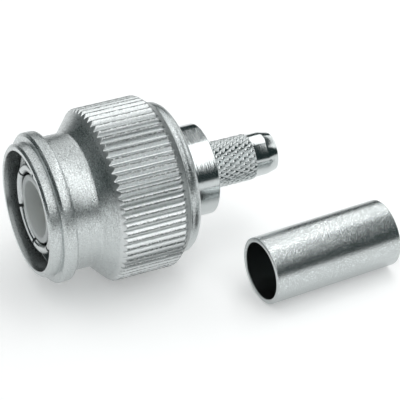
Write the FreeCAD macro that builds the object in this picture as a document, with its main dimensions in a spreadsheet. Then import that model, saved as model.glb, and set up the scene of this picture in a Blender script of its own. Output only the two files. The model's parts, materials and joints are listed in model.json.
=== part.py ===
import FreeCAD, Part
import os
import Sketcher

# A straight crimp plug for coaxial cable, with a threaded coupling nut.
# Millimetres. X runs along the plug from its mouth to its cable end, Z is up.
# The origin is the centre of the nut's mouth. The plug lies on its knurl, and the crimp
# ferrule that goes with it lies beside it on the same surface.

doc = FreeCAD.newDocument("tnc_connector")
sheet = doc.addObject("Spreadsheet::Sheet", "Sizes")

# Driving sizes: name, value and what it measures. Bores and the pin are diameters;
# walls, steps and rises are measured from one radius to the next.

SIZES = [
    ("sleeve_bore", 6.9, "outer contact: bore"),
    ("sleeve_wall", 0.6, "outer contact: wall"),
    ("sleeve_swell", 0.2, "outer contact: how far the fingertips bulge outwards"),
    ("sleeve_recess", 0.65, "outer contact: behind the mouth of the nut"),
    ("sleeve_seat", 2.7, "outer contact: depth pressed into the body"),
    ("nose_length", 1.3, "outer contact: length of the bulged fingertip"),
    ("nose_round", 0.22, "outer contact: rounding of the fingertip"),
    ("slot_length", 4.5, "outer contact: slots between the fingers"),
    ("slot_width", 0.32, "outer contact: slots between the fingers"),
    ("slot_count", 6, "outer contact: number of slots"),
    ("slot_turn", -24, "outer contact: angle of the first slot above the +Y side"),
    ("jack_room", 1.05, "nut: all round from the sleeve to the 7/16-28 thread's crests"),
    ("thread_length", 4.9, "nut: threaded length after the lead-in"),
    ("mouth_step", 0.5, "nut: depth of the thread's lead-in at the mouth"),
    ("mouth_flare", 0.06, "nut: how much the bore opens out at the mouth face"),
    ("mouth_flare_length", 0.4, "nut: length of that flare"),
    ("mouth_depth", 1.6, "nut: mouth face to the start of the thread's lead-in"),
    ("relief_step", 0.55, "nut: depth of the run-out bore behind the thread"),
    ("relief_length", 2.9, "nut: length of the run-out bore"),
    ("lip_wall", 0.65, "nut: wall of the front lip"),
    ("lip_length", 1.04, "nut: front lip"),
    ("lip_bevel", 0.22, "nut: bevel of the lip's front edge"),
    ("flange_rise", 0.8, "nut: front flange, from the lip out"),
    ("flange_length", 1.3, "nut: front flange"),
    ("flange_bevel", 0.26, "nut: bevel of the flange's front edge"),
    ("flange_rear_round", 0.25, "nut: rounding of the flange's rear edge"),
    ("neck_wall", 0.65, "nut: wall of the plain neck outside the run-out bore"),
    ("neck_length", 2.53, "nut: plain neck"),
    ("cone_length", 1.72, "nut: cone from the neck up to the knurl"),
    ("knurl_rise", 1.85, "nut: straight knurl's crests, from the neck out"),
    ("knurl_length", 5.67, "nut: full crests of the knurl"),
    ("knurl_depth", 0.34, "nut: depth of a knurl groove"),
    ("knurl_crest", 0.08, "nut: width of the flat on a knurl crest"),
    ("knurl_root", 0.1, "nut: width of the floor of a knurl groove"),
    ("knurl_count", 64, "nut: number of knurl grooves"),
    ("bevel_drop", 0.925, "nut: plain rear rim, from the knurl's crests in"),
    ("bevel_length", 1.04, "nut: bevel behind the knurl"),
    ("rear_length", 1.25, "nut: plain rear rim"),
    ("rear_round", 0.95, "nut: rounding of the rear rim"),
    ("collar_wall", 0.27, "body: wall of the collar outside the sleeve's seat"),
    ("collar_shown", 3.0, "body: collar that stands out behind the nut"),
    ("collar_round", 0.12, "body: rounding of the collar's rear edge"),
    ("collar_floor", 1.95, "body: from the insulator's tail to the collar's rear face"),
    ("running_gap", 0.08, "all round between the collar and the nut"),
    ("thrust_gap", 0.2, "along the axis between the body's flange and the nut"),
    ("body_flange_length", 2.1, "body: flange that the nut pulls on"),
    ("body_flange_gap", 0.25, "all round between the body's flange and the nut"),
    ("cable_bore", 3.05, "body: bore for the cable's dielectric"),
    ("stem_end_wall", 0.315, "body: wall at the stem's end face"),
    ("stem_taper_rise", 0.23, "body: stem's plain end, from the end face out"),
    ("stem_taper_length", 1.0, "body: taper at the stem's end"),
    ("stem_tip_length", 1.41, "body: plain end of the stem"),
    ("stem_knurl_rise", 0.16, "body: crests of the stem's diamond knurl, from the plain end out"),
    ("stem_knurl_length", 4.87, "body: diamond knurl"),
    ("seat_gap", 0.02, "all round between pieces that seat in each other"),
    ("insulator_recess", 0.2, "insulator: nose behind the fingertips"),
    ("insulator_gap", 0.25, "insulator: all round between its hollow nose and the sleeve"),
    ("socket_wall", 0.55, "insulator: wall of its hollow nose"),
    ("socket_depth", 5.15, "insulator: depth of its hollow nose"),
    ("web_length", 1.6, "insulator: web that holds the pin"),
    ("tail_step", 0.97, "insulator: tail inside the body, from the sleeve's bore in"),
    ("pin_diameter", 1.34, "centre contact: mating pin"),
    ("pin_recess", 1.45, "centre contact: tip behind the insulator's nose"),
    ("pin_tip_length", 0.5, "centre contact: tapered tip"),
    ("pin_tip_diameter", 0.6, "centre contact: flat at the end of the tip"),
    ("shank_step", 0.2, "centre contact: shank in the insulator's web, from the pin out"),
    ("barrel_step", 0.23, "centre contact: crimp barrel, from the shank out"),
    ("barrel_length", 7.3, "centre contact: crimp barrel"),
    ("wire_bore", 1.0, "centre contact: bore for the cable's wire"),
    ("wire_depth", 4.0, "centre contact: depth of that bore"),
    ("sight_hole", 0.6, "centre contact: cross hole that shows the wire"),
    ("gasket_length", 1.4, "gasket: thickness"),
    ("gasket_gap", 0.15, "gasket: all round, from the nut's thread"),
    ("ring_setback", 1.75, "retaining ring: nut's inner step to the ring's middle"),
    ("ring_thickness", 0.7, "retaining ring: along the axis"),
    ("ring_depth", 0.55, "retaining ring: how deep it sits in the body"),
    ("ring_reach", 0.45, "retaining ring: how far it stands out of the collar"),
    ("ring_side_gap", 0.05, "retaining ring: each side, from the body's groove"),
    ("ring_nut_gap", 0.2, "retaining ring: from the nut's groove"),
    ("ring_opening", 36, "retaining ring: angle of its split"),
    ("braid_room", 0.47, "ferrule: bore, from the crests of the stem's knurl out"),
    ("ferrule_wall", 0.48, "ferrule: wall"),
    ("ferrule_length", 13.2, "ferrule: length"),
    ("ferrule_bevel", 0.12, "ferrule: bevel of its edges"),
    ("ferrule_behind", 3.81, "ferrule: centre of its front face, behind the nut"),
    ("ferrule_beside", 3.04, "ferrule: centre of its front face, out from the nut's crests"),
    ("ferrule_turn", 3.9, "ferrule: turned about Z, away from the plug's axis"),
]

for row, (alias, value, meaning) in enumerate(SIZES, start=1):
    sheet.set(f"A{row}", meaning)
    sheet.set(f"B{row}", str(value))
    sheet.setAlias(f"B{row}", alias)
doc.recompute()


# Expressions on the sheet

def size(alias):
    return f"Sizes.{alias}"


def half(expression):
    return f"({expression}) / 2"


def total(*expressions):
    return "(" + " + ".join(expressions) + ")"


def less(expression, *taken):
    return "(" + " - ".join((expression,) + taken) + ")"


def value_of(expression):
    return float(sheet.evalExpression(expression))


# Stations along X, from the nut's mouth

LIP_END = size("lip_length")
FLANGE_END = total(LIP_END, size("flange_length"))
NECK_END = total(FLANGE_END, size("neck_length"))
CONE_END = total(NECK_END, size("cone_length"))
KNURL_END = total(CONE_END, size("knurl_length"))
BEVEL_END = total(KNURL_END, size("bevel_length"))
NUT_END = total(BEVEL_END, size("rear_length"))

THREAD_START = total(size("mouth_depth"), size("mouth_step"))
THREAD_END = total(THREAD_START, size("thread_length"))
NUT_STEP = total(THREAD_END, size("relief_length"))

BODY_FLANGE_END = less(NUT_STEP, size("thrust_gap"))
BODY_FRONT = less(BODY_FLANGE_END, size("body_flange_length"))
SLEEVE_END = total(BODY_FRONT, size("sleeve_seat"))
COLLAR_END = total(NUT_END, size("collar_shown"))
TAIL_END = less(COLLAR_END, size("collar_floor"))
STEM_KNURL_END = total(COLLAR_END, size("stem_knurl_length"))
STEM_TIP_END = total(STEM_KNURL_END, size("stem_tip_length"))
BODY_END = total(STEM_TIP_END, size("stem_taper_length"))

SLEEVE_START = size("sleeve_recess")
NOSE_END = total(SLEEVE_START, size("nose_length"))
INSULATOR_START = total(SLEEVE_START, size("insulator_recess"))
SOCKET_END = total(INSULATOR_START, size("socket_depth"))
WEB_END = total(SOCKET_END, size("web_length"))
PIN_START = total(INSULATOR_START, size("pin_recess"))
BARREL_END = total(WEB_END, size("barrel_length"))

RING_MIDDLE = total(NUT_STEP, size("ring_setback"))
RING_START = less(RING_MIDDLE, half(size("ring_thickness")))
RING_END = total(RING_MIDDLE, half(size("ring_thickness")))

# Radii, from the sleeve outwards

SLEEVE_INSIDE = half(size("sleeve_bore"))
SLEEVE_OUTSIDE = total(SLEEVE_INSIDE, size("sleeve_wall"))
NOSE_RADIUS = total(SLEEVE_OUTSIDE, size("sleeve_swell"))
SLEEVE_SEAT = total(SLEEVE_OUTSIDE, size("seat_gap"))

THREAD_RADIUS = total(SLEEVE_OUTSIDE, size("jack_room"))
MOUTH_RADIUS = total(THREAD_RADIUS, size("mouth_step"))
RELIEF_RADIUS = total(THREAD_RADIUS, size("relief_step"))
LIP_RADIUS = total(MOUTH_RADIUS, size("lip_wall"))
FLANGE_RADIUS = total(LIP_RADIUS, size("flange_rise"))
NECK_RADIUS = total(RELIEF_RADIUS, size("neck_wall"))
KNURL_RADIUS = total(NECK_RADIUS, size("knurl_rise"))
REAR_RADIUS = less(KNURL_RADIUS, size("bevel_drop"))

COLLAR_RADIUS = total(SLEEVE_SEAT, size("collar_wall"))
NUT_REAR_BORE = total(COLLAR_RADIUS, size("running_gap"))
BODY_FLANGE_RADIUS = less(RELIEF_RADIUS, size("body_flange_gap"))
RING_FLOOR = less(COLLAR_RADIUS, size("ring_depth"))
RING_OUTSIDE = total(COLLAR_RADIUS, size("ring_reach"))

# Radii, from the sleeve and the cable inwards and outwards

INSULATOR_NOSE = less(SLEEVE_INSIDE, size("insulator_gap"))
SOCKET_RADIUS = less(INSULATOR_NOSE, size("socket_wall"))
TAIL_RADIUS = less(SLEEVE_INSIDE, size("tail_step"))
PIN_RADIUS = half(size("pin_diameter"))
SHANK_RADIUS = total(PIN_RADIUS, size("shank_step"))
BARREL_RADIUS = total(SHANK_RADIUS, size("barrel_step"))

CABLE_RADIUS = half(size("cable_bore"))
STEM_END_RADIUS = total(CABLE_RADIUS, size("stem_end_wall"))
STEM_TIP_RADIUS = total(STEM_END_RADIUS, size("stem_taper_rise"))
STEM_KNURL_RADIUS = total(STEM_TIP_RADIUS, size("stem_knurl_rise"))
FERRULE_INSIDE = total(STEM_KNURL_RADIUS, size("braid_room"))
FERRULE_OUTSIDE = total(FERRULE_INSIDE, size("ferrule_wall"))


# Making pieces

SAME_PLACE = 0.001


def new_piece(name):
    piece = doc.addObject("PartDesign::Body", name)
    piece.Label = name
    return piece


def origin_plane(piece, role):
    for feature in piece.Origin.OriginFeatures:
        if feature.Role == role:
            return feature
    raise ValueError(f"{piece.Label} has no {role}")


def outline_sketch(piece, name, corners, role="XY_Plane"):
    """A closed outline whose corners are pairs of expressions on the sheet."""
    sketch = piece.newObject("Sketcher::SketchObject", name)
    sketch.AttachmentSupport = [(origin_plane(piece, role), "")]
    sketch.MapMode = "FlatFace"
    places = [FreeCAD.Vector(value_of(across), value_of(up), 0) for across, up in corners]
    count = len(corners)
    for i in range(count):
        sketch.addGeometry(Part.LineSegment(places[i], places[(i + 1) % count]), False)
    for i in range(count):
        sketch.addConstraint(Sketcher.Constraint("Coincident", i, 2, (i + 1) % count, 1))
    for i, (across, up) in enumerate(corners):
        for kind, expression, axis in (("DistanceX", across, -2), ("DistanceY", up, -1)):
            if expression == "0":
                sketch.addConstraint(Sketcher.Constraint("PointOnObject", i, 1, axis))
                continue
            amount = value_of(expression)
            number = sketch.addConstraint(Sketcher.Constraint(kind, -1, 1, i, 1, amount))
            sketch.setExpression(f"Constraints[{number}]", expression)
    doc.recompute()
    return sketch


def turned(piece, name, corners):
    """A solid of revolution about X from an outline of (station, radius) corners."""
    sketch = outline_sketch(piece, name + "_outline", corners)
    solid = piece.newObject("PartDesign::Revolution", name)
    solid.Profile = sketch
    solid.ReferenceAxis = (sketch, ["H_Axis"])
    solid.Angle = 360
    sketch.Visibility = False
    doc.recompute()
    return solid


def ring_edges(solid, station, radius):
    """Names of the solid's circular edges about X at a station and radius."""
    wanted_station = value_of(station)
    wanted_radius = value_of(radius)
    names = []
    for number, edge in enumerate(solid.Shape.Edges, start=1):
        if not isinstance(edge.Curve, Part.Circle):
            continue
        near_station = abs(edge.Curve.Center.x - wanted_station) < SAME_PLACE
        near_radius = abs(edge.Curve.Radius - wanted_radius) < SAME_PLACE
        if near_station and near_radius:
            names.append(f"Edge{number}")
    return names


def rounded(piece, name, solid, station, radius, rounding):
    fillet = piece.newObject("PartDesign::Fillet", name)
    fillet.Base = (solid, ring_edges(solid, station, radius))
    fillet.Radius = value_of(rounding)
    fillet.setExpression("Radius", rounding)
    doc.recompute()
    return fillet


def cut_through(piece, name, corners, role, length):
    """A pocket along the plane's normal, on the +X side, from an outline in that plane."""
    sketch = outline_sketch(piece, name + "_outline", corners, role)
    pocket = piece.newObject("PartDesign::Pocket", name)
    pocket.Profile = sketch
    pocket.Type = "Length"
    pocket.Length = value_of(length)
    pocket.setExpression("Length", length)
    pocket.Reversed = True
    sketch.Visibility = False
    doc.recompute()
    return pocket, sketch


def repeated(piece, name, feature, sketch, count):
    """Copies of a cut spaced evenly round the X axis."""
    pattern = piece.newObject("PartDesign::PolarPattern", name)
    pattern.Originals = [feature]
    pattern.Axis = (sketch, ["N_Axis"])
    pattern.Angle = 360
    pattern.Occurrences = int(value_of(count))
    pattern.setExpression("Occurrences", count)
    piece.Tip = pattern
    doc.recompute()
    return pattern


# Coupling nut

def make_coupling_nut():
    piece = new_piece("coupling_nut")
    flared_radius = total(MOUTH_RADIUS, size("mouth_flare"))
    ring_gap_start = less(RING_START, size("ring_nut_gap"))
    ring_gap_end = total(RING_END, size("ring_nut_gap"))
    ring_gap_radius = total(RING_OUTSIDE, size("ring_nut_gap"))
    blank = turned(piece, "nut_blank", [
        ("0", flared_radius),
        ("0", less(LIP_RADIUS, size("lip_bevel"))),
        (size("lip_bevel"), LIP_RADIUS),
        (LIP_END, LIP_RADIUS),
        (LIP_END, less(FLANGE_RADIUS, size("flange_bevel"))),
        (total(LIP_END, size("flange_bevel")), FLANGE_RADIUS),
        (FLANGE_END, FLANGE_RADIUS),
        (FLANGE_END, NECK_RADIUS),
        (NECK_END, NECK_RADIUS),
        (CONE_END, KNURL_RADIUS),
        (KNURL_END, KNURL_RADIUS),
        (BEVEL_END, REAR_RADIUS),
        (NUT_END, REAR_RADIUS),
        (NUT_END, NUT_REAR_BORE),
        (ring_gap_end, NUT_REAR_BORE),
        (ring_gap_end, ring_gap_radius),
        (ring_gap_start, ring_gap_radius),
        (ring_gap_start, NUT_REAR_BORE),
        (NUT_STEP, NUT_REAR_BORE),
        (NUT_STEP, RELIEF_RADIUS),
        (THREAD_END, RELIEF_RADIUS),
        (THREAD_END, THREAD_RADIUS),
        (THREAD_START, THREAD_RADIUS),
        (size("mouth_depth"), MOUTH_RADIUS),
        (size("mouth_flare_length"), MOUTH_RADIUS),
    ])
    rear_round = size("flange_rear_round")
    solid = rounded(piece, "flange_rear", blank, FLANGE_END, FLANGE_RADIUS, rear_round)
    rounded(piece, "rear_rounding", solid, NUT_END, REAR_RADIUS, size("rear_round"))
    make_knurl(piece)
    return piece


def make_knurl(piece):
    root_radius = less(KNURL_RADIUS, size("knurl_depth"))
    pitch = f"(2 * pi * {KNURL_RADIUS} / {size('knurl_count')})"
    half_mouth = half(less(pitch, size("knurl_crest")))
    half_root = half(size("knurl_root"))
    clear_radius = total(KNURL_RADIUS, size("knurl_depth"))
    slope = f"(({half_mouth} - {half_root}) / {size('knurl_depth')})"
    half_clear = total(half_mouth, f"{slope} * {size('knurl_depth')}")
    groove, sketch = cut_through(piece, "knurl_groove", [
        (root_radius, f"-({half_root})"),
        (clear_radius, f"-({half_clear})"),
        (clear_radius, half_clear),
        (root_radius, half_root),
    ], "YZ_Plane", NUT_END)
    repeated(piece, "knurl", groove, sketch, size("knurl_count"))


# Body with its collar and crimp stem

def make_connector_body():
    piece = new_piece("connector_body")
    groove_start = less(RING_START, size("ring_side_gap"))
    groove_end = total(RING_END, size("ring_side_gap"))
    tail_seat = total(TAIL_RADIUS, size("seat_gap"))
    blank = turned(piece, "body_blank", [
        (BODY_FRONT, SLEEVE_SEAT),
        (BODY_FRONT, BODY_FLANGE_RADIUS),
        (BODY_FLANGE_END, BODY_FLANGE_RADIUS),
        (BODY_FLANGE_END, COLLAR_RADIUS),
        (groove_start, COLLAR_RADIUS),
        (groove_start, RING_FLOOR),
        (groove_end, RING_FLOOR),
        (groove_end, COLLAR_RADIUS),
        (COLLAR_END, COLLAR_RADIUS),
        (COLLAR_END, STEM_KNURL_RADIUS),
        (STEM_KNURL_END, STEM_KNURL_RADIUS),
        (STEM_KNURL_END, STEM_TIP_RADIUS),
        (STEM_TIP_END, STEM_TIP_RADIUS),
        (BODY_END, STEM_END_RADIUS),
        (BODY_END, CABLE_RADIUS),
        (TAIL_END, CABLE_RADIUS),
        (TAIL_END, tail_seat),
        (SLEEVE_END, tail_seat),
        (SLEEVE_END, SLEEVE_SEAT),
    ])
    rounded(piece, "collar_rounding", blank, COLLAR_END, COLLAR_RADIUS, size("collar_round"))
    return piece


# Slotted spring sleeve

def make_outer_contact():
    piece = new_piece("outer_contact")
    nose_middle = total(SLEEVE_START, half(size("nose_length")))
    blank = turned(piece, "sleeve_blank", [
        (SLEEVE_START, SLEEVE_INSIDE),
        (SLEEVE_START, NOSE_RADIUS),
        (nose_middle, NOSE_RADIUS),
        (NOSE_END, SLEEVE_OUTSIDE),
        (SLEEVE_END, SLEEVE_OUTSIDE),
        (SLEEVE_END, SLEEVE_INSIDE),
    ])
    solid = rounded(piece, "nose_outside", blank, SLEEVE_START, NOSE_RADIUS, size("nose_round"))
    rounded(piece, "nose_inside", solid, SLEEVE_START, SLEEVE_INSIDE, size("nose_round"))
    half_width = half(size("slot_width"))
    clear_radius = total(NOSE_RADIUS, size("sleeve_swell"))
    slot, sketch = cut_through(piece, "slot", [
        (half(SLEEVE_INSIDE), f"-({half_width})"),
        (clear_radius, f"-({half_width})"),
        (clear_radius, half_width),
        (half(SLEEVE_INSIDE), half_width),
    ], "YZ_Plane", total(SLEEVE_START, size("slot_length")))
    repeated(piece, "slots", slot, sketch, size("slot_count"))
    turn_about_x(piece, size("slot_turn"))
    return piece


def turn_about_x(piece, angle):
    turn = FreeCAD.Rotation(FreeCAD.Vector(1, 0, 0), value_of(angle))
    piece.Placement = FreeCAD.Placement(FreeCAD.Vector(0, 0, 0), turn)
    piece.setExpression("Placement.Rotation.Angle", angle)
    doc.recompute()


# Insulator with its hollow nose

def make_insulator():
    piece = new_piece("insulator")
    barrel_seat = total(BARREL_RADIUS, size("seat_gap"))
    shank_seat = total(SHANK_RADIUS, size("seat_gap"))
    sleeve_fit = less(SLEEVE_INSIDE, size("seat_gap"))
    turned(piece, "insulator_solid", [
        (INSULATOR_START, SOCKET_RADIUS),
        (INSULATOR_START, INSULATOR_NOSE),
        (SOCKET_END, INSULATOR_NOSE),
        (SOCKET_END, sleeve_fit),
        (SLEEVE_END, sleeve_fit),
        (SLEEVE_END, TAIL_RADIUS),
        (TAIL_END, TAIL_RADIUS),
        (TAIL_END, barrel_seat),
        (WEB_END, barrel_seat),
        (WEB_END, shank_seat),
        (SOCKET_END, shank_seat),
        (SOCKET_END, SOCKET_RADIUS),
    ])
    return piece


# Centre contact: pin and crimp barrel

def make_centre_contact():
    piece = new_piece("centre_contact")
    wire_start = less(BARREL_END, size("wire_depth"))
    turned(piece, "contact_blank", [
        (PIN_START, "0"),
        (PIN_START, half(size("pin_tip_diameter"))),
        (total(PIN_START, size("pin_tip_length")), PIN_RADIUS),
        (SOCKET_END, PIN_RADIUS),
        (SOCKET_END, SHANK_RADIUS),
        (WEB_END, SHANK_RADIUS),
        (WEB_END, BARREL_RADIUS),
        (BARREL_END, BARREL_RADIUS),
        (BARREL_END, half(size("wire_bore"))),
        (wire_start, half(size("wire_bore"))),
        (wire_start, "0"),
    ])
    hole_place = total(wire_start, size("sight_hole"))
    hole_depth = total(BARREL_RADIUS, size("sight_hole"))
    sketch = piece.newObject("Sketcher::SketchObject", "sight_hole_outline")
    sketch.AttachmentSupport = [(origin_plane(piece, "XY_Plane"), "")]
    sketch.MapMode = "FlatFace"
    centre = FreeCAD.Vector(value_of(hole_place), 0, 0)
    radius = value_of(half(size("sight_hole")))
    sketch.addGeometry(Part.Circle(centre, FreeCAD.Vector(0, 0, 1), radius))
    sketch.addConstraint(Sketcher.Constraint("PointOnObject", 0, 3, -1))
    number = sketch.addConstraint(Sketcher.Constraint("DistanceX", -1, 1, 0, 3, centre.x))
    sketch.setExpression(f"Constraints[{number}]", hole_place)
    number = sketch.addConstraint(Sketcher.Constraint("Diameter", 0, value_of(size("sight_hole"))))
    sketch.setExpression(f"Constraints[{number}]", size("sight_hole"))
    hole = piece.newObject("PartDesign::Pocket", "sight_hole")
    hole.Profile = sketch
    hole.Type = "Length"
    hole.Length = value_of(hole_depth)
    hole.setExpression("Length", hole_depth)
    hole.Reversed = True
    sketch.Visibility = False
    doc.recompute()
    return piece


# Gasket at the foot of the sleeve

def make_gasket():
    piece = new_piece("gasket")
    outside = less(THREAD_RADIUS, size("gasket_gap"))
    gasket_start = less(BODY_FRONT, size("gasket_length"))
    turned(piece, "gasket_solid", [
        (gasket_start, SLEEVE_SEAT),
        (gasket_start, outside),
        (BODY_FRONT, outside),
        (BODY_FRONT, SLEEVE_SEAT),
    ])
    return piece


# Split ring that keeps the nut on the body

def make_retaining_ring():
    piece = new_piece("retaining_ring")
    inside = total(RING_FLOOR, size("seat_gap"))
    ring = turned(piece, "ring_solid", [
        (RING_START, inside),
        (RING_START, RING_OUTSIDE),
        (RING_END, RING_OUTSIDE),
        (RING_END, inside),
    ])
    ring.setExpression("Angle", less("360", size("ring_opening")))
    doc.recompute()
    return piece


# Crimp ferrule, lying beside the plug

def make_crimp_ferrule():
    piece = new_piece("crimp_ferrule")
    bevel = size("ferrule_bevel")
    turned(piece, "ferrule_solid", [
        (bevel, FERRULE_INSIDE),
        ("0", total(FERRULE_INSIDE, bevel)),
        ("0", less(FERRULE_OUTSIDE, bevel)),
        (bevel, FERRULE_OUTSIDE),
        (less(size("ferrule_length"), bevel), FERRULE_OUTSIDE),
        (size("ferrule_length"), less(FERRULE_OUTSIDE, bevel)),
        (size("ferrule_length"), total(FERRULE_INSIDE, bevel)),
        (less(size("ferrule_length"), bevel), FERRULE_INSIDE),
    ])
    turn = FreeCAD.Rotation(FreeCAD.Vector(0, 0, 1), value_of(size("ferrule_turn")))
    piece.Placement = FreeCAD.Placement(FreeCAD.Vector(0, 0, 0), turn)
    piece.setExpression("Placement.Rotation.Angle", size("ferrule_turn"))
    piece.setExpression("Placement.Base.x", total(NUT_END, size("ferrule_behind")))
    beside = total(KNURL_RADIUS, size("ferrule_beside"))
    piece.setExpression("Placement.Base.y", f"-{beside}")
    piece.setExpression("Placement.Base.z", less(FERRULE_OUTSIDE, KNURL_RADIUS))
    doc.recompute()
    return piece


PIECES = [
    make_coupling_nut(),
    make_connector_body(),
    make_outer_contact(),
    make_insulator(),
    make_centre_contact(),
    make_gasket(),
    make_retaining_ring(),
    make_crimp_ferrule(),
]

# Check and write

doc.recompute()
for thing in doc.Objects:
    if "Invalid" in thing.State or "Error" in thing.State:
        raise RuntimeError(f"{thing.Label} did not compute: {thing.State}")

os.makedirs("parts", exist_ok=True)
for piece in PIECES:
    shape = piece.Shape
    if shape.isNull() or not shape.isValid() or len(shape.Solids) != 1:
        raise RuntimeError(f"{piece.Label} is not one valid solid")
    box = shape.BoundBox
    print(
        f"{piece.Label}: {shape.Volume:.2f} mm3, X {box.XMin:.2f} to {box.XMax:.2f}, "
        f"Y {box.YMin:.2f} to {box.YMax:.2f}, Z {box.ZMin:.2f} to {box.ZMax:.2f}"
    )
    shape.exportStep(f"parts/{piece.Label}.step")
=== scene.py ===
# %% [markdown]
# # A coaxial crimp plug and its ferrule
#
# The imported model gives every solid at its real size, in metres, with X along the plug from
# its mouth to its cable end and Z up. It is loaded first and never moved. The rest of this
# file turns each visible part again as a finished mesh, gives it a surface, and lights it.

import json
import math

import bmesh
import bpy
from mathutils import Matrix, Vector, noise

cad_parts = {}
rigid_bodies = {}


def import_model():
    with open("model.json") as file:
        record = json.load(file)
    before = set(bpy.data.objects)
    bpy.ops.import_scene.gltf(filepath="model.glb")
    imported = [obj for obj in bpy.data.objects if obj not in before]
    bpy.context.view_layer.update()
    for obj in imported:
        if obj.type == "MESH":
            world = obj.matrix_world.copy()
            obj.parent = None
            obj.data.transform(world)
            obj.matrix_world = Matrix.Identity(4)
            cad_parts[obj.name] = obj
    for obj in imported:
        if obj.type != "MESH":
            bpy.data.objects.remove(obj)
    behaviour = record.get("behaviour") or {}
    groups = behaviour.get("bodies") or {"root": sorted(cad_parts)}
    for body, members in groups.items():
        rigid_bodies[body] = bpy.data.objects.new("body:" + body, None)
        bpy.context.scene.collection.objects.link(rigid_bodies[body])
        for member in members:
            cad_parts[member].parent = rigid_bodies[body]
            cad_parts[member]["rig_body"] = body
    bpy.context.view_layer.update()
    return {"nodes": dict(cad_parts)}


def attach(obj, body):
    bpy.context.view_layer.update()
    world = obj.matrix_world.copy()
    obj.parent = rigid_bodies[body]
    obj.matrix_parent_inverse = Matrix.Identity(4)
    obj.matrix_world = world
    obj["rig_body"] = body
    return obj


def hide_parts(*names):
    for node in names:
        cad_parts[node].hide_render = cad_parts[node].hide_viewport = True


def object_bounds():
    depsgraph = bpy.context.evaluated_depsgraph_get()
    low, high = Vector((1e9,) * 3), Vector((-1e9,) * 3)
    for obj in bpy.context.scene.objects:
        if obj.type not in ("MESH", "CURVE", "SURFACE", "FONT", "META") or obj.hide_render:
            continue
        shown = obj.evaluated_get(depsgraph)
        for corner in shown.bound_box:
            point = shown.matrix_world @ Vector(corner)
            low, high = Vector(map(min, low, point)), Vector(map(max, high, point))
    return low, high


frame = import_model()
print("nodes:", sorted(frame["nodes"]))

# %% [markdown]
# ## Camera
#
# The photograph looks down at the plug from its mouth's side with a long lens, which keeps
# the circles of the mouth, the knurl and the ferrule nearly parallel. A camera could be aimed
# with a constraint, but a plain place and two angles say the same with nothing left live.

# %% Camera at the photograph's angle
MM = 0.001
CAMERA_PLACE = Vector((-52.888, -150.132, 103.273)) * MM
CAMERA_HEADING = math.radians(25.11)
CAMERA_DIP = math.radians(32.79)
LENS = 187.19

camera_data = bpy.data.cameras.new("camera")
camera_data.sensor_width = 36
camera_data.lens = LENS
camera_data.clip_start = 0.01
camera = bpy.data.objects.new("camera", camera_data)
camera.location = CAMERA_PLACE
camera.rotation_euler = (math.pi / 2 - CAMERA_DIP, 0, -CAMERA_HEADING)
bpy.context.scene.collection.objects.link(camera)
bpy.context.scene.camera = camera
print("camera dips", round(math.degrees(CAMERA_DIP), 1), "degrees")

# %% [markdown]
# ## Shader sums
#
# A material's numbers are easier to read as sums than as boxes and wires. One small class
# stands for an output socket: adding, multiplying or taking it from 1 makes the Math node.
# Every other node comes from one method that sets the node up before it fills its sockets.


# %% Signals and finishes
class Signal:
    """An output socket that can be used in sums."""

    def __init__(self, finish, socket):
        self.finish = finish
        self.socket = socket

    def math(self, operation, *values):
        sockets = dict(enumerate(values))
        return self.finish.node("ShaderNodeMath", {"operation": operation}, sockets)

    def __add__(self, other):
        return self.math("ADD", self, other)

    def __radd__(self, other):
        return self.math("ADD", other, self)

    def __sub__(self, other):
        return self.math("SUBTRACT", self, other)

    def __rsub__(self, other):
        return self.math("SUBTRACT", other, self)

    def __mul__(self, other):
        return self.math("MULTIPLY", self, other)

    def __rmul__(self, other):
        return self.math("MULTIPLY", other, self)

    def clamp(self):
        return self.finish.node("ShaderNodeClamp", {}, {"Value": self})


class Finish:
    """A material under one plain name, built on its Principled shader."""

    def __init__(self, name, **constants):
        self.material = bpy.data.materials.new(name)
        self.material.use_nodes = True
        self.tree = self.material.node_tree
        self.shader = self.tree.nodes["Principled BSDF"]
        self.feed(self.shader, constants)

    def feed(self, node, sockets):
        for name, value in sockets.items():
            socket = node.inputs[name if isinstance(name, int) else name.replace("_", " ")]
            if isinstance(value, Signal):
                self.tree.links.new(value.socket, socket)
            else:
                socket.default_value = value

    def node(self, kind, settings, sockets, output=0):
        made = self.tree.nodes.new(kind)
        for name, value in settings.items():
            setattr(made, name, value)
        self.feed(made, sockets)
        return Signal(self, made.outputs[output])

    def surface(self, **sockets):
        self.feed(self.shader, sockets)


print("signals ready")

# %% [markdown]
# ## Floor and light
#
# The plug lies on a pale table. A broad soft lamp hangs over it, with a narrow strip behind
# and another in front, and a card of light stands to the right. Bare metal shows little but
# its surroundings, so each lamp is one light band on it and the dark room between them makes
# the dark bands. A brighter world would light the object more evenly, but nickel would then
# lose its contrast and look like grey paint. The table also glows a little, to the camera and
# in mirrors alike, which keeps it pale without more light on the metal.

# %% Floor
FLOOR_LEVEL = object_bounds()[0][2]
FLOOR_REACH = 1.5
FLOOR_GLOW = 0.27


def table_finish():
    finish = Finish("pale_table", Roughness=0.9, Specular_IOR_Level=0.1)
    place = finish.node("ShaderNodeTexCoord", {}, {}, "Object")
    mottle = finish.node("ShaderNodeTexNoise", {}, {"Vector": place, "Scale": 90.0, "Detail": 3.0})
    shade = finish.node(
        "ShaderNodeMix",
        {"data_type": "RGBA"},
        {"Factor": mottle, 6: (0.88, 0.885, 0.885, 1), 7: (0.90, 0.905, 0.905, 1)},
        2,
    )
    finish.surface(Base_Color=shade)
    rays = finish.tree.nodes.new("ShaderNodeLightPath")
    seen = Signal(finish, rays.outputs["Is Camera Ray"]) + Signal(finish, rays.outputs["Is Glossy Ray"])
    seen = seen + Signal(finish, rays.outputs["Is Transmission Ray"])
    finish.surface(Emission_Color=(1, 1, 1, 1), Emission_Strength=seen.clamp() * FLOOR_GLOW)
    return finish.material


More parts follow.
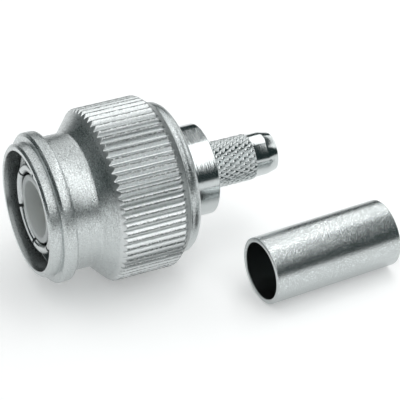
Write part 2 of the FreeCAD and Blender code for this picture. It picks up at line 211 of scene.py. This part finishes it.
floor_mesh = bpy.data.meshes.new("floor")
floor_shape = bmesh.new()
bmesh.ops.create_grid(floor_shape, x_segments=1, y_segments=1, size=FLOOR_REACH)
bmesh.ops.translate(floor_shape, verts=floor_shape.verts, vec=(0, 0, FLOOR_LEVEL))
floor_shape.to_mesh(floor_mesh)
floor_shape.free()
floor_mesh.materials.append(table_finish())
floor = bpy.data.objects.new("floor", floor_mesh)
bpy.context.scene.collection.objects.link(floor)
print("floor at", round(FLOOR_LEVEL / MM, 2), "mm")

# %% Lamps and room
LAMP_HEIGHT = 0.13
ROOM_SHADE = (0.014, 0.028, 0.028, 1)


def set_lamp(name, place, width, length, radiance, turn=0, tip=0):
    """A flat lamp that faces down until it is tipped towards -X, turned about Z."""
    data = bpy.data.lights.new(name, "AREA")
    data.shape = "RECTANGLE"
    data.size = width
    data.size_y = length
    data.energy = radiance * math.pi * width * length
    lamp = bpy.data.objects.new(name, data)
    lamp.location = place
    lamp.rotation_euler = (0, math.radians(tip), math.radians(turn))
    bpy.context.scene.collection.objects.link(lamp)
    print(name, round(data.energy, 3), "watts")


broad_place = (-0.045, 0.030, LAMP_HEIGHT)
back_place = (0.119, 0.130, LAMP_HEIGHT)
front_place = (0.0695, -0.180, LAMP_HEIGHT)
card_place = (0.26, 0.075, 0.125)
set_lamp("broad_lamp", broad_place, width=0.208, length=0.91, radiance=0.92, turn=-12)
set_lamp("back_strip", back_place, width=0.036, length=0.28, radiance=2.2, turn=-16)
set_lamp("front_strip", front_place, width=0.055, length=0.40, radiance=2.5, turn=5)
set_lamp("right_card", card_place, width=0.14, length=0.35, radiance=1.5, tip=90)

room = bpy.data.worlds.new("room")
room.use_nodes = True
room.node_tree.nodes["Background"].inputs["Color"].default_value = ROOM_SHADE
bpy.context.scene.world = room
bpy.context.scene.view_settings.view_transform = "Standard"

# %% [markdown]
# ## Turning on a lathe
#
# Nearly every part of the plug was turned from bar, so each is drawn as half a cross-section
# and spun round the X axis. Corners are rounded on the flat outline, before the spin, with a
# vertex bevel: that is cheaper and cleaner than bevelling hundreds of ring edges afterwards.
# An outline is a list of corners, each a station along X, a radius and a rounding. Smooth
# shading would bend a long wall's reflections towards its small rounded edges, so every piece
# weighs its normals by the size of the faces, and the long walls stay straight.


# %% Lathe helpers
FULL_TURN = 2 * math.pi
ROUNDING_STEPS = 4


def outline(shape, corners, closed=True):
    """Joins (station, radius, rounding) corners, in millimetres, above the X axis."""
    points = [shape.verts.new((station * MM, 0, radius * MM)) for station, radius, _ in corners]
    ends = points[1:] + points[:1] if closed else points[1:]
    edges = [shape.edges.new(pair) for pair in zip(points, ends)]
    for point, (_, _, rounding) in zip(points, corners):
        if rounding:
            bmesh.ops.bevel(
                shape,
                geom=[point],
                offset=rounding * MM,
                offset_type="OFFSET",
                segments=ROUNDING_STEPS,
                profile=0.5,
                affect="VERTICES",
                material=-1,
            )
    return [edge for edge in edges if edge.is_valid]


def spin_round(shape, steps, angle=FULL_TURN):
    """Spins the drawn outline round the X axis, closed where the turn is a full one."""
    drawn = shape.verts[:] + shape.edges[:]
    full = math.isclose(angle, FULL_TURN)
    bmesh.ops.spin(
        shape, geom=drawn, cent=(0, 0, 0), axis=(1, 0, 0), angle=angle, steps=steps, use_merge=full
    )
    bmesh.ops.remove_doubles(shape, verts=shape.verts, dist=0.0005 * MM)
    bmesh.ops.recalc_face_normals(shape, faces=shape.faces)


def polar(vertex):
    """Station and radius in millimetres, and the angle from +Y towards +Z."""
    x, y, z = vertex.co
    return x / MM, math.hypot(y, z) / MM, math.atan2(z, y)


def put(vertex, station, radius, angle):
    vertex.co = (station * MM, radius * math.cos(angle) * MM, radius * math.sin(angle) * MM)


def finish_piece(shape, name, node, material, crease=32):
    """Makes the piece's object, puts it in its CAD node's place and lets it ride there."""
    mesh = bpy.data.meshes.new(name)
    shape.to_mesh(mesh)
    shape.free()
    mesh.polygons.foreach_set("use_smooth", [True] * len(mesh.polygons))
    mesh.set_sharp_from_angle(angle=math.radians(crease))
    mesh.materials.append(material)
    piece = bpy.data.objects.new(name, mesh)
    bpy.context.scene.collection.objects.link(piece)
    shading = piece.modifiers.new("even_shading", "WEIGHTED_NORMAL")
    shading.keep_sharp = True
    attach(piece, frame["nodes"][node]["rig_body"])
    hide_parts(node)
    triangles = sum(len(face.vertices) - 2 for face in mesh.polygons)
    print(name, triangles, "triangles")
    return piece


# %% [markdown]
# ## Plated and blasted metal
#
# All the metal is brass under nickel, but each part was finished in its own way. Blasting
# leaves a fine frosted grain that breaks every highlight into specks. Turning leaves rings
# that run round the part. Both are bumps far smaller than the part, so they are made in the
# shader, while the shapes that can be felt with a nail stay in the mesh.


# %% Metal helpers
def object_place(finish):
    return finish.node("ShaderNodeTexCoord", {}, {}, "Object")


def stretched(finish, place, along, across):
    """The place scaled so that a pattern has one grain size along X and one round it."""
    scale = (1 / (along * MM), 1 / (across * MM), 1 / (across * MM))
    return finish.node(
        "ShaderNodeVectorMath", {"operation": "MULTIPLY"}, {0: place, 1: scale}
    )


def cloud(finish, place, detail=2.0, roughness=0.5):
    """Noise about one unit across, between 0 and 1."""
    sockets = {"Vector": place, "Scale": 1.0, "Detail": detail, "Roughness": roughness}
    return finish.node("ShaderNodeTexNoise", {}, sockets)


def distance_along(finish, place, direction):
    """Distance from the origin along a direction, in millimetres."""
    sockets = {0: place, 1: [part / MM for part in direction]}
    return finish.node("ShaderNodeVectorMath", {"operation": "DOT_PRODUCT"}, sockets, "Value")


def step_up(value, edge, slope):
    """0 before an edge and 1 past it, or the reverse where the slope is negative."""
    return ((value - edge) * slope).clamp()


def radius_of(finish, place):
    """Distance from the X axis, in millimetres."""
    flat = finish.node(
        "ShaderNodeVectorMath", {"operation": "MULTIPLY"}, {0: place, 1: (0, 1, 1)}
    )
    length = finish.node("ShaderNodeVectorMath", {"operation": "LENGTH"}, {0: flat}, "Value")
    return length * (1 / MM)


def cool_grey(level, tint=0.03):
    """A grey that is a little weaker in red, as nickel is."""
    return (level, level + tint, level + tint, 1)


def blend_colors(finish, factor, first, second):
    sockets = {"Factor": factor, 6: first, 7: second}
    return finish.node("ShaderNodeMix", {"data_type": "RGBA"}, sockets, 2)


def scaled_color(finish, color, factor):
    """The colour made lighter or darker by a factor."""
    sockets = {0: color, "Scale": factor}
    return finish.node("ShaderNodeVectorMath", {"operation": "SCALE"}, sockets)


def bump(finish, height, depth):
    """A bump whose full height stands for depth, in millimetres."""
    sockets = {"Height": height, "Strength": 1.0, "Distance": depth * MM}
    return finish.node("ShaderNodeBump", {}, sockets, "Normal")


print("metal helpers ready")

# %% [markdown]
# ## Coupling nut
#
# The nut screws onto the mating jack. Its front has a lip and a wider flange, then a plain
# neck and a cone up to the straight knurl that the fingers grip. The knurl could be 64
# copies of one cut tooth, but cutting needs a boolean for each. Here the blank is spun with
# eight columns to a tooth, and the columns sink into the grooves. A shoulder half way up each
# flank gives the tooth the round back that rolling leaves. At the knurl's ends the columns
# also slide along the cone and the bevel, so each groove runs out exactly as a cutter's does.

# %% Nut blank
NUT_STEPS_PER_TOOTH = 8
KNURL_COUNT = 64
KNURL_START, KNURL_END, KNURL_RADIUS = 6.59, 12.26, 8.15
NECK_END, NECK_RADIUS = 4.87, 6.3
BEVEL_END, REAR_RADIUS = 13.30, 7.225
NUT_END = 14.55
THREAD_ROOT, THREAD_CREST = 5.56, 5.10
THREAD_START, THREAD_END = 1.6, 7.0
RUN_OUT_RADIUS = 5.65
MOUTH_RADIUS = 5.6
CONE_RUN = (KNURL_START - NECK_END) / (KNURL_RADIUS - NECK_RADIUS)
BEVEL_RUN = (BEVEL_END - KNURL_END) / (KNURL_RADIUS - REAR_RADIUS)
GROOVE_FOOT = 7.70

nut_corners = [
    (0, MOUTH_RADIUS + 0.06, 0.05),
    (0, 6.03, 0.02),
    (0.22, 6.25, 0.02),
    (1.04, 6.25, 0.04),
    (1.04, 6.79, 0.02),
    (1.30, 7.05, 0.03),
    (2.34, 7.05, 0.25),
    (2.34, NECK_RADIUS, 0.1),
    (NECK_END, NECK_RADIUS, 0.15),
    (NECK_END + (6.48 - NECK_RADIUS) * CONE_RUN, 6.48, 0),
    (NECK_END + (GROOVE_FOOT - NECK_RADIUS) * CONE_RUN, GROOVE_FOOT, 0),
    (KNURL_START, KNURL_RADIUS, 0.06),
    (KNURL_END, KNURL_RADIUS, 0.06),
    (KNURL_END + (KNURL_RADIUS - GROOVE_FOOT) * BEVEL_RUN, GROOVE_FOOT, 0),
    (BEVEL_END, REAR_RADIUS, 0.12),
    (NUT_END, REAR_RADIUS, 0.95),
    (NUT_END, 4.42, 0.12),
    (12.2, 4.42, 0),
    (12.2, 4.99, 0),
    (11.1, 4.99, 0),
    (11.1, 4.42, 0),
    (9.9, 4.42, 0),
    (9.9, RUN_OUT_RADIUS, 0.1),
    (THREAD_END, RUN_OUT_RADIUS, 0),
    (THREAD_END, THREAD_ROOT, 0),
    (THREAD_START + 0.04, THREAD_ROOT, 0),
    (THREAD_START, MOUTH_RADIUS, 0.05),
    (0.4, MOUTH_RADIUS, 0.05),
]
nut = bmesh.new()
nut_edges = outline(nut, nut_corners)
knurl_line = [edge for edge in nut_edges if all(polar(v)[1] > 8.1 for v in edge.verts)]
bmesh.ops.subdivide_edges(nut, edges=knurl_line, cuts=13)
spin_round(nut, KNURL_COUNT * NUT_STEPS_PER_TOOTH)
print("nut blank has", len(nut.verts), "points")

# %% Sink the knurl's grooves
END_MARGIN = 0.2
WOBBLE_HEIGHT = 0.014
GROOVE_DEPTH = 0.34
TOOTH_PITCH = FULL_TURN * KNURL_RADIUS / KNURL_COUNT
ROOT_HALF = 0.05
SHOULDER_HALF = 0.19
SHOULDER_DEPTH = 0.125
GROOVE_HALF = 0.365


def tooth_columns(angle):
    """Moves the even columns to the edges of the root, the shoulder and the crest."""
    tooth = angle / FULL_TURN * KNURL_COUNT
    middle = round(tooth)
    step = round((tooth - middle) * NUT_STEPS_PER_TOOTH)
    aside = (0.0, ROOT_HALF, SHOULDER_HALF, GROOVE_HALF, TOOTH_PITCH / 2)[abs(step)]
    return (middle + math.copysign(aside / TOOTH_PITCH, step)) * FULL_TURN / KNURL_COUNT


def groove_depth(angle):
    """How far the knurl lies under its crests at an angle round the nut."""
    tooth = angle / FULL_TURN * KNURL_COUNT
    aside = abs(tooth - round(tooth)) * TOOTH_PITCH
    flank = (GROOVE_HALF - aside) / (GROOVE_HALF - SHOULDER_HALF)
    if flank < 1.0:
        return SHOULDER_DEPTH * max(flank, 0.0)
    deeper = (SHOULDER_HALF - aside) / (SHOULDER_HALF - ROOT_HALF)
    return SHOULDER_DEPTH + (GROOVE_DEPTH - SHOULDER_DEPTH) * min(deeper, 1.0)


def crest_wobble(station, angle, radius):
    """Small waves that rolling leaves along the crests."""
    spot = Vector((station * 1.3, radius * math.cos(angle) * 1.1, radius * math.sin(angle) * 1.1))
    return noise.noise(spot) * WOBBLE_HEIGHT


for vertex in nut.verts:
    station, radius, angle = polar(vertex)
    angle = tooth_columns(angle)
    put(vertex, station, radius, angle)
    beside = not KNURL_START - END_MARGIN < station < KNURL_END + END_MARGIN
    if beside or radius < KNURL_RADIUS - 0.12:
        continue
    sunk = groove_depth(angle)
    if station < KNURL_START + END_MARGIN:
        station -= sunk * CONE_RUN
    elif station > KNURL_END - END_MARGIN:
        station += sunk * BEVEL_RUN
    else:
        sunk += crest_wobble(station, angle, radius)
    put(vertex, station, radius - sunk, angle)
print("grooves of", GROOVE_DEPTH, "mm every", round(TOOTH_PITCH, 3), "mm")

# %% [markdown]
# ### The nut's thread
#
# Inside runs a thread of 7/16-28 size, which on the real nut the jack's barrel screws into.
# Its ridge is a small trapezium swept along a helix: a spin that also steps along the axis.
# The real thread is right-handed, but the spin's negative angle winds this one left-handed.
# Where the ridge would leave the thread, its points are pressed out into the wall, which
# gives the tapered lead-in and the clean run-out that a tap and a boring tool leave.

# %% Sweep the thread's ridge
THREAD_PITCH = 25.4 / 28
THREAD_STEPS = 72
RIDGE_FOOT = THREAD_ROOT + 0.03
FOOT_SPREAD = 0.017
RIDGE_SUNK = 0.05
RIDGE_OVERRUN = 0.02
ridge_start = THREAD_START - THREAD_PITCH
ridge_turns = math.ceil((THREAD_END + THREAD_PITCH - ridge_start) / THREAD_PITCH)

thread = bmesh.new()
foot_half = THREAD_PITCH * 7 / 16 + FOOT_SPREAD
crest_half = THREAD_PITCH / 8
outline(thread, [
    (ridge_start - foot_half, RIDGE_FOOT, 0),
    (ridge_start - crest_half, THREAD_CREST, 0.03),
    (ridge_start + crest_half, THREAD_CREST, 0.03),
    (ridge_start + foot_half, RIDGE_FOOT, 0),
])
ridge_ends = [bmesh.ops.contextual_create(thread, geom=thread.edges[:])["faces"][0]]
step_along = THREAD_PITCH * MM / THREAD_STEPS
bmesh.ops.spin(
    thread,
    geom=ridge_ends,
    cent=(0, 0, 0),
    axis=(1, 0, 0),
    dvec=(step_along, 0, 0),
    angle=-FULL_TURN * ridge_turns,
    steps=THREAD_STEPS * ridge_turns,
)
for vertex in thread.verts:
    station, radius, angle = polar(vertex)
    lead_in = MOUTH_RADIUS - (station - THREAD_START)
    if station < THREAD_START:
        radius = MOUTH_RADIUS + RIDGE_SUNK
    elif station > THREAD_END:
        radius = RUN_OUT_RADIUS + RIDGE_SUNK
    else:
        radius = max(radius, min(lead_in, RIDGE_FOOT))
    station = min(max(station, THREAD_START - RIDGE_OVERRUN), THREAD_END + RIDGE_OVERRUN)
    put(vertex, station, radius, angle)
bmesh.ops.recalc_face_normals(thread, faces=thread.faces)
ridge_mesh = bpy.data.meshes.new("ridge")
thread.to_mesh(ridge_mesh)
thread.free()
nut.from_mesh(ridge_mesh)
bpy.data.meshes.remove(ridge_mesh)
print("ridge of", ridge_turns, "turns")

# %% [markdown]
# ### The nut's blasted skin
#
# The blast reached every outer face. The upper side gets deeper grain bumps and stronger colour
# specks, and those specks are painted glints where the lamps graze the grain. Fingers have polished
# the knurl's flanks, and its crests carry a ragged line of painted dark reflection. The bevel behind
# the knurl gets a painted dark reflection, and the bore is darkened with painted shade. The masks
# come from the nut's own radii, so no texture has to be drawn or unwrapped.


# %% Blasted nickel
def blasted_nickel():
    finish = Finish("blasted_nickel", Metallic=1.0)
    place = object_place(finish)
    grain = cloud(finish, stretched(finish, place, along=0.12, across=0.14), roughness=0.6)
    specks = cloud(finish, stretched(finish, place, along=0.085, across=0.10), detail=1.0)
    marks = cloud(finish, stretched(finish, place, along=0.085, across=0.6), detail=1.0)
    tone = cloud(finish, stretched(finish, place, along=1.6, across=1.6), detail=3.0)
    radius = radius_of(finish, place)
    station = distance_along(finish, place, (1, 0, 0))
    height = distance_along(finish, place, (0, 0, 1))
    knurl = step_up(radius, GROOVE_FOOT - 0.15, 8.0)
    # Mask for a painted dark reflection on the bevel behind the knurl.
    painted_bevel_reflection = step_up(station, KNURL_END + 0.04, 8.0) * step_up(radius, REAR_RADIUS + 0.055, 14.0)
    # Mask for a painted dark reflection in a ragged line along the knurl's crests.
    crests = step_up(radius + grain * 0.25, KNURL_RADIUS + 0.08, 25.0)
    # Mask for painted shade in the bore.
    bore_painted_shade = step_up(radius, MOUTH_RADIUS + 0.15, -12.0)
    # Upper side: deeper grain bumps, and colour specks made stronger there as painted glints.
    frost_and_painted_glints = (0.45 + height * 0.25).clamp() * (1.0 - knurl * 0.6)
    color = blend_colors(finish, tone, cool_grey(0.52), cool_grey(0.57))
    color = blend_colors(finish, knurl * 0.5, color, cool_grey(0.66, 0.02))
    # Painted shade in the bore.
    color = blend_colors(finish, bore_painted_shade, color, cool_grey(0.36, 0.02))
    # Painted dark reflection on the bevel.
    color = blend_colors(finish, painted_bevel_reflection, color, cool_grey(0.24, 0.02))
    # Painted dark reflection along the crests.
    color = blend_colors(finish, crests * 0.85, color, cool_grey(0.09, 0.01))
    # Random grain specks, painted stronger on the upper side as glints.
    uneven = (specks - 0.5) * 1.8 + (marks - 0.5) * 0.6
    color = scaled_color(finish, color, 1.0 + uneven * (0.1 + frost_and_painted_glints * 0.9))
    roughness = 0.20 + grain * 0.12 + tone * 0.05 + knurl * 0.04
    skin = (grain * 0.85 + marks * 0.15) * (0.15 + frost_and_painted_glints * 0.85)
    finish.surface(Base_Color=color, Roughness=roughness, Normal=bump(finish, skin, depth=0.026))
    return finish.material


finish_piece(nut, "nut_knurled", "coupling_nut", blasted_nickel())

# %% [markdown]
# ## Body with its collar and crimp stem
#
# The body is one turned piece: a flange and a collar inside the nut, and behind them the
# stem that goes under the cable's braid. Its diamond knurl is two families of grooves that
# wind round the stem in opposite directions. The blank's rings and columns are spaced so
# that both families cross the mesh corner to corner, and poking the faces gives each
# diagonal an edge to follow.

# %% Body blank
STEM_START, STEM_KNURL_END = 17.55, 22.42
STEM_CREST, STEM_TIP = 2.23, 2.07
DIAMONDS_ROUND = 24
DIAMOND_STEPS = 10
STEM_RINGS = 48

body_corners = [
    (7.6, 4.07, 0.05),
    (7.6, 5.4, 0.1),
    (9.7, 5.4, 0.1),
    (9.7, 4.34, 0),
    (11.25, 4.34, 0),
    (11.25, 3.79, 0),
    (12.05, 3.79, 0),
    (12.05, 4.34, 0),
    (STEM_START, 4.34, 0.12),
    (STEM_START, STEM_CREST, 0),
    (STEM_KNURL_END, STEM_CREST, 0),
    (STEM_KNURL_END, STEM_TIP, 0.03),
    (23.83, STEM_TIP, 0.12),
    (24.83, 1.84, 0.08),
    (24.83, 1.525, 0.06),
    (15.6, 1.525, 0),
    (15.6, 2.5, 0),
    (10.3, 2.5, 0),
    (10.3, 4.07, 0),
]
body = bmesh.new()
body_edges = outline(body, body_corners)
stem_line = [
    edge
    for edge in body_edges
    if all(math.isclose(polar(v)[1], STEM_CREST, abs_tol=0.001) for v in edge.verts)
]
bmesh.ops.subdivide_edges(body, edges=stem_line, cuts=STEM_RINGS - 1)
spin_round(body, DIAMONDS_ROUND * DIAMOND_STEPS)
stem_faces = [
    face
    for face in body.faces
    if all(math.isclose(polar(v)[1], STEM_CREST, abs_tol=0.001) for v in face.verts)
]
bmesh.ops.poke(body, faces=stem_faces)
print("stem knurl has", len(stem_faces) * 4, "small faces")

# %% Raise the diamonds
DIAMOND_DEPTH = 0.15
DIAMOND_LENGTH = (STEM_KNURL_END - STEM_START) * DIAMOND_STEPS / STEM_RINGS


def ridge_height(turns):
    """0 in a groove's bottom and 1 half way to the next, with a rounded top."""
    aside = abs(turns - round(turns)) * 2
    return math.sin(aside * math.pi / 2) ** 0.9


for vertex in body.verts:
    station, radius, angle = polar(vertex)
    if abs(radius - STEM_CREST) > 0.02:
        continue
    along = (station - STEM_START) / DIAMOND_LENGTH
    round_turns = angle / FULL_TURN * DIAMONDS_ROUND
    deep = ridge_height(along + round_turns)
    shallow = 0.22 + 0.78 * ridge_height(along - round_turns)
    height = min(deep, shallow)
    put(vertex, station, STEM_CREST - DIAMOND_DEPTH * (1 - height), angle)
bmesh.ops.recalc_face_normals(body, faces=body.faces)
print("diamonds of", round(DIAMOND_LENGTH, 2), "mm")

# %% [markdown]
# ### The body's turned skin
#
# The body was plated straight from the lathe. The tool's rings run round it, each at its own
# small tilt, and they break the edge of every reflection into short strokes. One stretched
# noise makes the rings and a finer one the scratches between them.


# %% Turned nickel
def turned_nickel():
    finish = Finish("turned_nickel", Metallic=1.0)
    place = object_place(finish)
    rings = cloud(finish, stretched(finish, place, along=0.17, across=1.1), roughness=0.6)
    scratches = cloud(finish, stretched(finish, place, along=0.09, across=2.2), roughness=0.6)
    tone = cloud(finish, stretched(finish, place, along=1.2, across=1.2), detail=3.0)
    color = blend_colors(finish, tone, cool_grey(0.53), cool_grey(0.60))
    roughness = 0.07 + scratches * 0.12 + tone * 0.05
    skin = rings * 0.7 + scratches * 0.3
    finish.surface(Base_Color=color, Roughness=roughness, Normal=bump(finish, skin, depth=0.010))
    return finish.material


finish_piece(body, "body_turned", "connector_body", turned_nickel(), crease=40)

# %% [markdown]
# ## Slotted spring sleeve
#
# Six fingers with bulged tips press outwards inside the jack. The sleeve is spun whole, with
# one narrow pair of columns where each saw cut goes. Those faces are deleted over the length
# of the cut, the edges are made parallel, as a saw leaves them, and the open sides are
# filled again.

# %% Spin the sleeve
SLOT_COUNT = 6
SLEEVE_STEPS = 144
SLOT_TURN = math.radians(-24)
SLOT_HALF = 0.16
SLOT_END = 5.15

sleeve = bmesh.new()
sleeve_corners = [
    (0.65, 3.45, 0.4),
    (0.65, 4.25, 0.3),
    (1.3, 4.25, 0.3),
    (1.95, 4.05, 0.2),
    (SLOT_END, 4.05, 0),
    (10.3, 4.05, 0),
    (10.3, 3.45, 0),
    (SLOT_END, 3.45, 0),
]
outline(sleeve, sleeve_corners)
spin_round(sleeve, SLEEVE_STEPS)
print("sleeve blank has", len(sleeve.faces), "faces")


# %% Saw the slots
def from_slot(angle):
    """Angle from the nearest slot's middle."""
    spacing = FULL_TURN / SLOT_COUNT
    turns = angle / spacing
    return (turns - round(turns)) * spacing


column = FULL_TURN / SLEEVE_STEPS
sawn = [
    face
    for face in sleeve.faces
    if face.calc_center_median().x < (SLOT_END - 0.01) * MM
    and abs(from_slot(polar(face.verts[0])[2])) < 1.5 * column
    and all(abs(from_slot(polar(v)[2])) < 1.5 * column for v in face.verts)
]
bmesh.ops.delete(sleeve, geom=sawn, context="FACES")
for vertex in sleeve.verts:
    station, radius, angle = polar(vertex)
    aside = from_slot(angle)
    if station < SLOT_END + 0.01 and 0.5 * column < abs(aside) < 1.5 * column:
        sawn_aside = math.copysign(math.asin(SLOT_HALF / radius), aside)
        put(vertex, station, radius, angle - aside + sawn_aside)
open_edges = [edge for edge in sleeve.edges if edge.is_boundary]
print("open edges after sawing:", len(open_edges))


# %% Close the sawn sides
def slot_side(vertex):
    """The slot's number, and -1 or 1 for its sides or 0 for its middle."""
    angle = polar(vertex)[2]
    aside = from_slot(angle)
    number = round((angle - aside) / (FULL_TURN / SLOT_COUNT)) % SLOT_COUNT
    side = 0 if abs(aside) < 0.5 * column else int(math.copysign(1, aside))
    return number, side


def at_slot_end(vertex):
    return polar(vertex)[0] > SLOT_END - 0.01


for number in range(SLOT_COUNT):
    near = [edge for edge in open_edges if all(slot_side(v)[0] == number for v in edge.verts)]
    slot_floor = [edge for edge in near if all(at_slot_end(v) for v in edge.verts)]
    for side in (-1, 1):
        wall = [
            edge
            for edge in near
            if edge not in slot_floor and all(slot_side(v)[1] == side for v in edge.verts)
        ]
        foot = {v for edge in wall for v in edge.verts if at_slot_end(v)}
        across = sleeve.edges.new(list(foot))
        bmesh.ops.contextual_create(sleeve, geom=wall + [across])
        slot_floor.append(across)
    bmesh.ops.contextual_create(sleeve, geom=slot_floor)
bmesh.ops.recalc_face_normals(sleeve, faces=sleeve.faces)
turn = Matrix.Rotation(SLOT_TURN, 3, "X")
bmesh.ops.rotate(sleeve, verts=sleeve.verts, cent=(0, 0, 0), matrix=turn)
print("open edges left:", sum(edge.is_boundary for edge in sleeve.edges))


# %% Spring metal
def spring_metal():
    finish = Finish("spring_metal", Metallic=1.0)
    place = object_place(finish)
    rings = cloud(finish, stretched(finish, place, along=0.06, across=0.9))
    tone = cloud(finish, stretched(finish, place, along=0.8, across=0.8), detail=3.0)
    color = blend_colors(finish, tone, cool_grey(0.49, 0.025), cool_grey(0.58, 0.025))
    roughness = 0.16 + rings * 0.12 + tone * 0.08
    finish.surface(Base_Color=color, Roughness=roughness, Normal=bump(finish, rings, depth=0.006))
    return finish.material


finish_piece(sleeve, "sleeve_slotted", "outer_contact", spring_metal())

# %% [markdown]
# ## Insulator
#
# The white insulator is machined PTFE: soft, waxy and never quite smooth, with faint rings
# from the tool. It is a plain turned shape with a hollow nose. Its paleness comes from a
# little light that scatters under the surface, which keeps its shaded bore from going black.


# %% Insulator
def machined_ptfe():
    finish = Finish(
        "machined_ptfe",
        Subsurface_Weight=0.15,
        Subsurface_Radius=(1.0, 1.0, 1.0),
        Subsurface_Scale=0.0006,
        IOR=1.38,
    )
    place = object_place(finish)
    rings = cloud(finish, stretched(finish, place, along=0.07, across=1.2))
    wax = cloud(finish, stretched(finish, place, along=0.5, across=0.5), detail=3.0)
    color = blend_colors(finish, wax, cool_grey(0.62), cool_grey(0.68))
    roughness = 0.42 + wax * 0.15
    finish.surface(Base_Color=color, Roughness=roughness, Normal=bump(finish, rings, depth=0.005))
    return finish.material


insulator = bmesh.new()
outline(insulator, [
    (0.85, 2.65, 0.1),
    (0.85, 3.2, 0.12),
    (6.0, 3.2, 0),
    (6.0, 3.43, 0),
    (10.3, 3.43, 0),
    (10.3, 2.48, 0.05),
    (15.6, 2.48, 0.05),
    (15.6, 1.12, 0),
    (7.6, 1.12, 0),
    (7.6, 0.89, 0),
    (6.0, 0.89, 0.03),
    (6.0, 2.65, 0.1),
])
spin_round(insulator, 128)
finish_piece(insulator, "insulator_turned", "insulator", machined_ptfe())

# %% [markdown]
# ## Crimp ferrule
#
# The loose ferrule is a piece of thin tube, softened by heat so that it can be crimped. That
# leaves a satin skin with coarser specks than the turned parts have. White specks are painted
# into its colour on the upper side as glints, and its bore is darkened with painted shade. It is
# spun at the origin like the rest and then laid on the table, so its finish needs a Mapping node
# that undoes that move before it looks for the tube's own axis.

# %% Ferrule
FERRULE_LENGTH, FERRULE_OUTSIDE, FERRULE_INSIDE = 13.2, 3.18, 2.7
FERRULE_TURN = math.radians(3.9)
FERRULE_PLACE = Vector((18.36, -11.19, FERRULE_OUTSIDE - KNURL_RADIUS)) * MM


def ferrule_nickel():
    finish = Finish("ferrule_nickel", Metallic=1.0)
    place = finish.node(
        "ShaderNodeMapping",
        {"vector_type": "TEXTURE"},
        {"Vector": object_place(finish), "Location": FERRULE_PLACE, "Rotation": (0, 0, FERRULE_TURN)},
    )
    specks = cloud(finish, stretched(finish, place, along=0.10, across=0.09), detail=1.0)
    draw_lines = cloud(finish, stretched(finish, place, along=2.5, across=0.15))
    tone = cloud(finish, stretched(finish, place, along=1.5, across=1.5), detail=3.0)
    # Mask for painted shade in the tube's bore.
    bore_painted_shade = step_up(radius_of(finish, place), FERRULE_INSIDE + 0.12, -12.0)
    color = blend_colors(finish, tone, cool_grey(0.51), cool_grey(0.56))
    # Painted shade in the bore.
    color = blend_colors(finish, bore_painted_shade, color, cool_grey(0.33, 0.02))
    # Upper side: deeper speck bumps, stronger colour specks and white painted glints.
    frost_and_painted_glints = (0.5 + distance_along(finish, place, (0, 0, 1)) * 0.4).clamp()
    glints = step_up(specks, 0.58, 8.0)
    # Random specks plus bright specks painted in as glints, both strongest on the upper side.
    uneven = (specks - 0.5) * (0.1 + frost_and_painted_glints * 0.7) + glints * frost_and_painted_glints * 0.8
    color = scaled_color(finish, color, 0.96 + uneven)
    roughness = 0.19 + specks * 0.08 + tone * 0.03
    skin = (specks * 0.9 + draw_lines * 0.1) * (0.15 + frost_and_painted_glints * 0.85)
    finish.surface(Base_Color=color, Roughness=roughness, Normal=bump(finish, skin, depth=0.013))
    return finish.material


ferrule = bmesh.new()
outline(ferrule, [
    (0, FERRULE_INSIDE, 0.1),
    (0, FERRULE_OUTSIDE, 0.12),
    (FERRULE_LENGTH, FERRULE_OUTSIDE, 0.12),
    (FERRULE_LENGTH, FERRULE_INSIDE, 0.1),
])
spin_round(ferrule, 192)
lay_down = Matrix.Rotation(FERRULE_TURN, 3, "Z")
bmesh.ops.rotate(ferrule, verts=ferrule.verts, cent=(0, 0, 0), matrix=lay_down)
bmesh.ops.translate(ferrule, verts=ferrule.verts, vec=FERRULE_PLACE)
finish_piece(ferrule, "ferrule_tube", "crimp_ferrule", ferrule_nickel())

# %% [markdown]
# ## Parts deep inside
#
# The centre contact, the gasket and the retaining ring hardly show, and their solids already
# have the right shape. They stay as they are and only get their own finishes: gold over
# brass, soft silicone and spring steel.


# %% Finishes for the hidden parts
def gold_plate():
    finish = Finish("gold_plate", Metallic=1.0)
    place = object_place(finish)
    rings = cloud(finish, stretched(finish, place, along=0.05, across=0.8))
    color = blend_colors(finish, rings, (0.83, 0.62, 0.27, 1), (0.90, 0.71, 0.36, 1))
    finish.surface(Base_Color=color, Roughness=0.16 + rings * 0.14, Normal=bump(finish, rings, depth=0.004))
    return finish.material


def soft_silicone():
    finish = Finish("soft_silicone", Sheen_Weight=0.1)
    place = object_place(finish)
    skin = cloud(finish, stretched(finish, place, along=0.2, across=0.2), detail=4.0)
    color = blend_colors(finish, skin, (0.30, 0.10, 0.075, 1), (0.42, 0.16, 0.12, 1))
    finish.surface(Base_Color=color, Roughness=0.5 + skin * 0.2, Normal=bump(finish, skin, depth=0.01))
    return finish.material


def spring_steel():
    finish = Finish("spring_steel", Metallic=1.0)
    place = object_place(finish)
    rings = cloud(finish, stretched(finish, place, along=0.05, across=1.0), detail=3.0)
    color = blend_colors(finish, rings, cool_grey(0.48, 0.01), cool_grey(0.60, 0.01))
    finish.surface(Base_Color=color, Roughness=0.24 + rings * 0.16, Normal=bump(finish, rings, depth=0.008))
    return finish.material


kept_solids = {
    "centre_contact": gold_plate(),
    "gasket": soft_silicone(),
    "retaining_ring": spring_steel(),
}
for node, material in kept_solids.items():
    for material_slot in frame["nodes"][node].material_slots:
        material_slot.material = material
    print(node, "keeps its solid")
